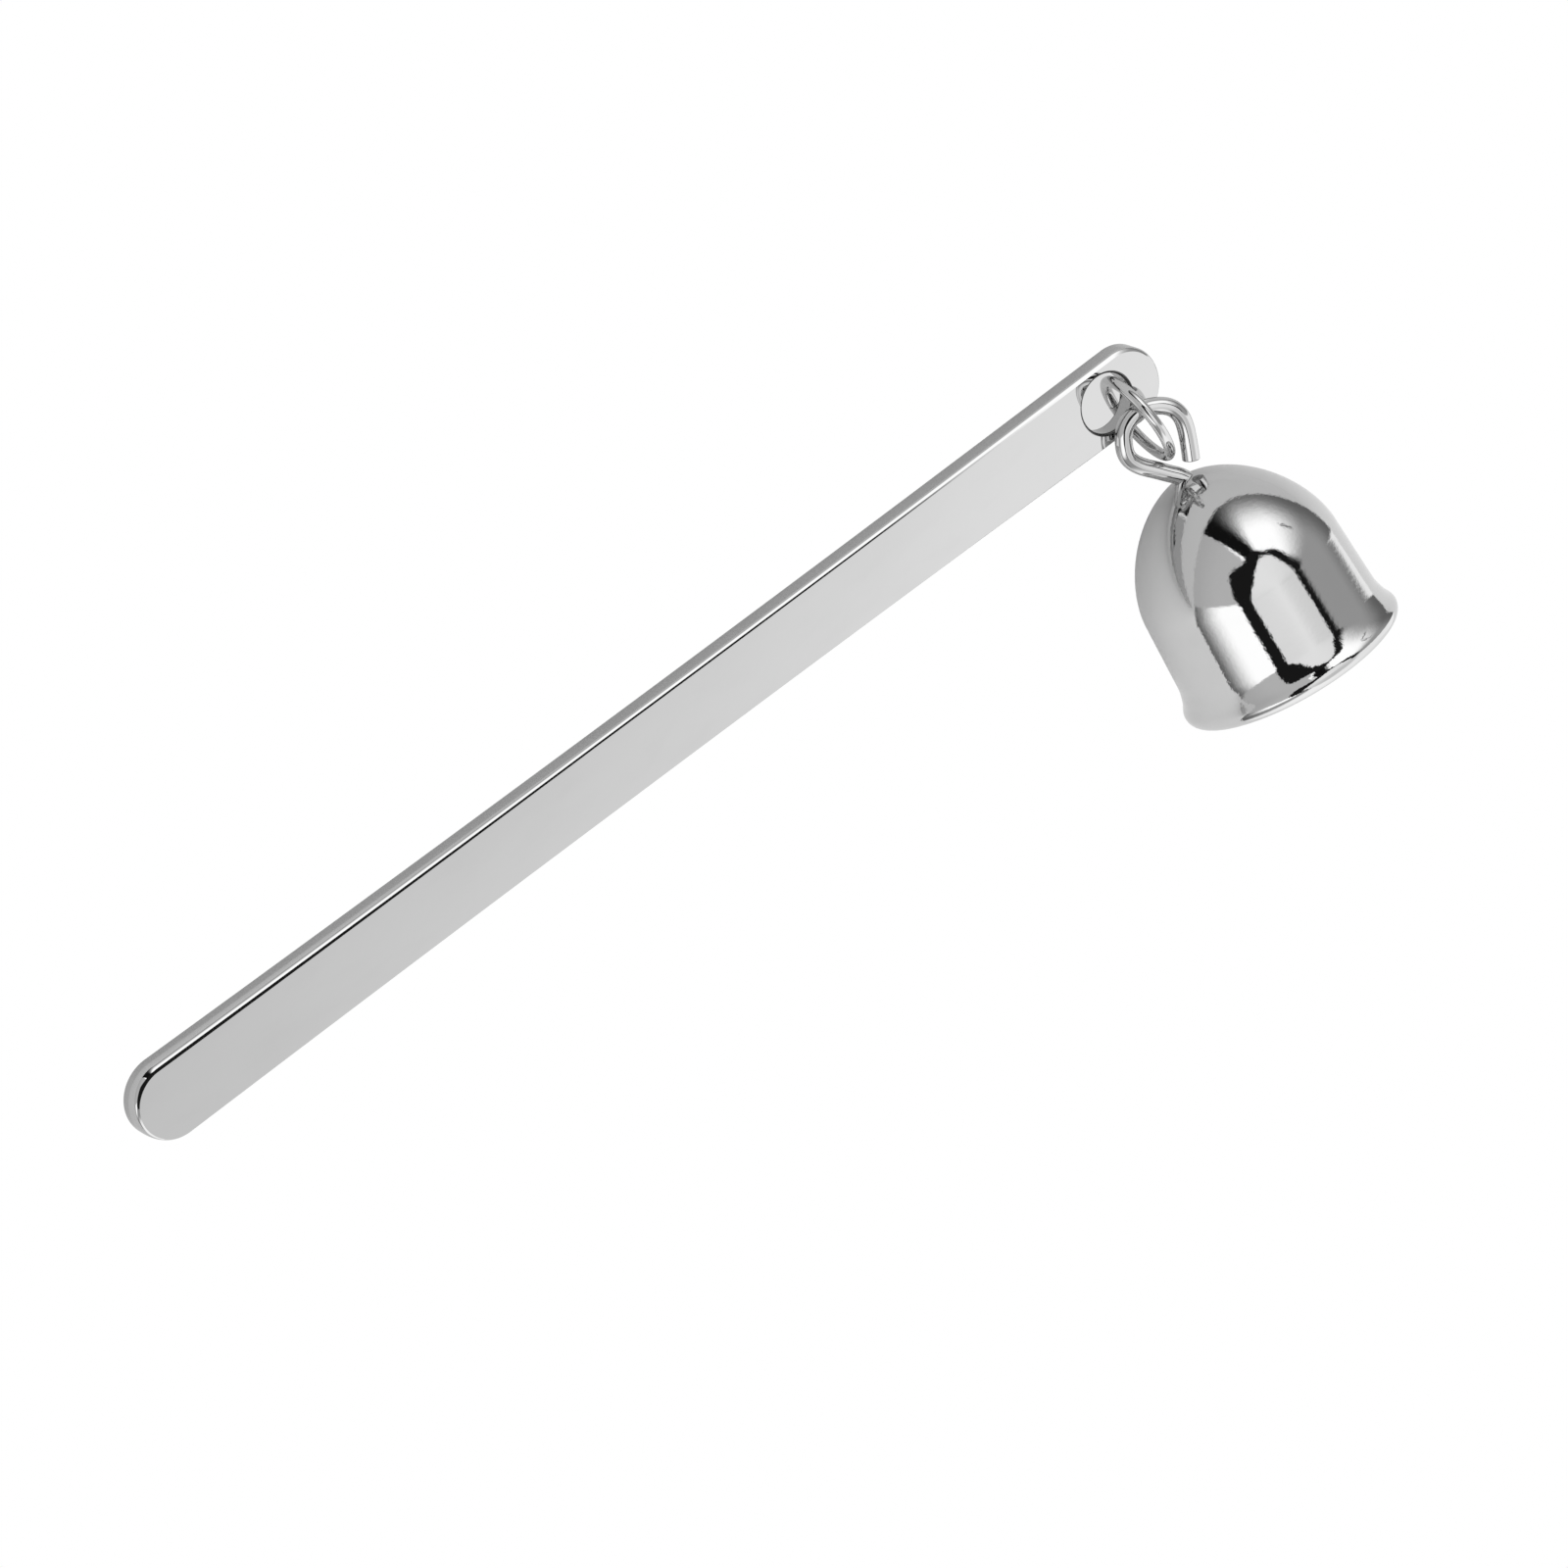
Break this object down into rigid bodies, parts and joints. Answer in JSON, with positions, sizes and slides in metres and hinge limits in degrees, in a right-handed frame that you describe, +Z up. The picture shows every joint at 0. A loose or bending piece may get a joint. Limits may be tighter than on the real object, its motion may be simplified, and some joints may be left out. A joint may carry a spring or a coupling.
{
  "type": "candle snuffer",
  "caption": "Chrome candle snuffer: flat round-ended strip handle with a small bell hung from its end by a wire ring and an open wire hook.",
  "frame": {"origin": "middle of the footprint, on the table the snuffer lies on", "axes": "+X along the handle towards its holed head, +Y away from the bell, +Z up"},
  "size_m": [0.1704, 0.0486, 0.0313],
  "materials": {
    "handle_chrome": "mirror polished plating",
    "ring_chrome": "mirror polished plating",
    "bell_chrome": "mirror polished plating",
    "hook_chrome": "mirror polished plating",
    "fixing_steel": "plain zinc plated"
  },
  "bodies": {
    "strip": {"handle": "handle_chrome"},
    "ring": {"jump_ring": "ring_chrome"},
    "snuffer": {"bell": "bell_chrome", "eye_hook": "hook_chrome", "washer": "fixing_steel", "nut": "fixing_steel"}
  },
  "joints": [
    {"name": "ring_swing", "type": "hinge", "parent": "strip", "child": "ring", "pos_m": [0.069, 0.0156, 0.00359], "axis": [0.9739, 0.164, 0.157], "range_deg": [-4, 95]},
    {"name": "bell_swing", "type": "hinge", "parent": "ring", "child": "snuffer", "pos_m": [0.06914, 0.0104, 0.00821], "axis": [-0.1975, 0.2711, 0.9421], "range_deg": [-30, 60]}
  ]
}
